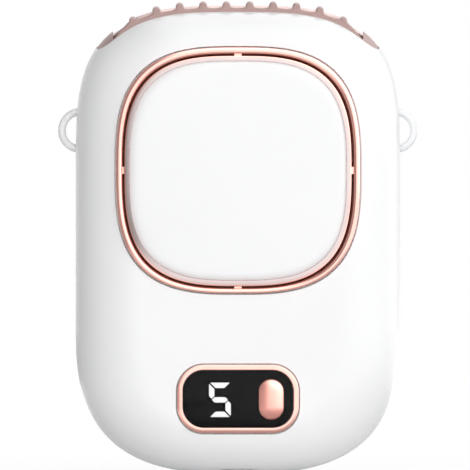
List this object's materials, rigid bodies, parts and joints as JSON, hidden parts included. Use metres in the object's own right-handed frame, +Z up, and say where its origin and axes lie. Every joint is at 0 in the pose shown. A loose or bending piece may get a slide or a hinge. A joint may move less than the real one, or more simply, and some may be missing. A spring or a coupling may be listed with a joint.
{
  "type": "electric neck fan",
  "caption": "Slim rounded battery blower worn on a neck cord: front intake ring, ribbed top outlet, number display and push button, with a loop at each side.",
  "frame": {"origin": "centre of the object's box in plan, on the plane of its foot", "axes": "+Z up towards the outlet, +X to the right seen from the display side, the display faces -Y"},
  "size_m": [0.078, 0.033, 0.102],
  "materials": {
    "white_plastic": "smooth gloss white",
    "rose_gold": "plated rose gold, bright",
    "satin_rose_gold": "satin rose gold",
    "foam": "soft open foam",
    "smoked_window": "smoked clear, polished",
    "black_plastic": "moulded black",
    "lit_white": "lit white light guide",
    "unlit_segment": "dark light guide",
    "circuit_board": "green solder mask",
    "ferrite": "pressed ferrite",
    "plated_steel": "nickel plate",
    "ivory_plastic": "moulded ivory",
    "battery_foil": "laminated foil pouch",
    "red_lead": "soft insulation",
    "black_lead": "soft insulation",
    "grey_plastic": "moulded light grey",
    "fan_plastic": "moulded white",
    "magnet": "bonded magnet",
    "bush_bronze": "sintered bronze",
    "core_steel": "laminated steel",
    "copper_wire": "enamelled copper wire",
    "clear_plastic": "translucent, frosted clear"
  },
  "bodies": {
    "case": {"front_shell": "white_plastic", "rear_shell": "white_plastic", "intake_ring": "rose_gold", "centre_cover": "white_plastic", "outlet_grille": "rose_gold", "outlet_gasket": "foam", "display_bezel": "rose_gold", "display_window": "smoked_window", "display_module": "black_plastic", "lit_segments": "lit_white", "unlit_segments": "unlit_segment", "switch_body": "black_plastic", "main_board": "circuit_board", "board_chips": "black_plastic", "inductor": "ferrite", "usb_socket_shell": "plated_steel", "usb_socket_tongue": "black_plastic", "lead_sockets": "ivory_plastic", "board_screws": "plated_steel", "battery_cell": "battery_foil", "battery_board": "circuit_board", "battery_pad": "foam", "battery_lead_red": "red_lead", "battery_lead_black": "black_lead", "fan_housing": "grey_plastic", "fan_cover": "grey_plastic", "bearing_bush": "bush_bronze", "stator_core": "core_steel", "stator_coils": "copper_wire", "motor_board": "circuit_board", "motor_lead_red": "red_lead", "motor_lead_black": "black_lead", "fan_screws": "plated_steel", "case_screws": "plated_steel", "lanyard_loop_left": "clear_plastic", "lanyard_loop_right": "clear_plastic"},
    "fan": {"impeller": "fan_plastic", "rotor_cup": "plated_steel", "rotor_magnet": "magnet", "motor_shaft": "plated_steel", "shaft_clip": "black_plastic"},
    "button": {"power_button": "satin_rose_gold", "switch_plunger": "black_plastic"}
  },
  "joints": [
    {"name": "fan_spin", "type": "hinge", "parent": "case", "child": "fan", "pos_m": [0, 0, 0.0654], "axis": [0, -1, 0], "continuous": true},
    {"name": "button_press", "type": "slide", "parent": "case", "child": "button", "axis": [0, 1, 0], "range_m": [0, 0.0004], "stiffness_N_per_m": 4000, "springref_m": -0.0001}
  ]
}
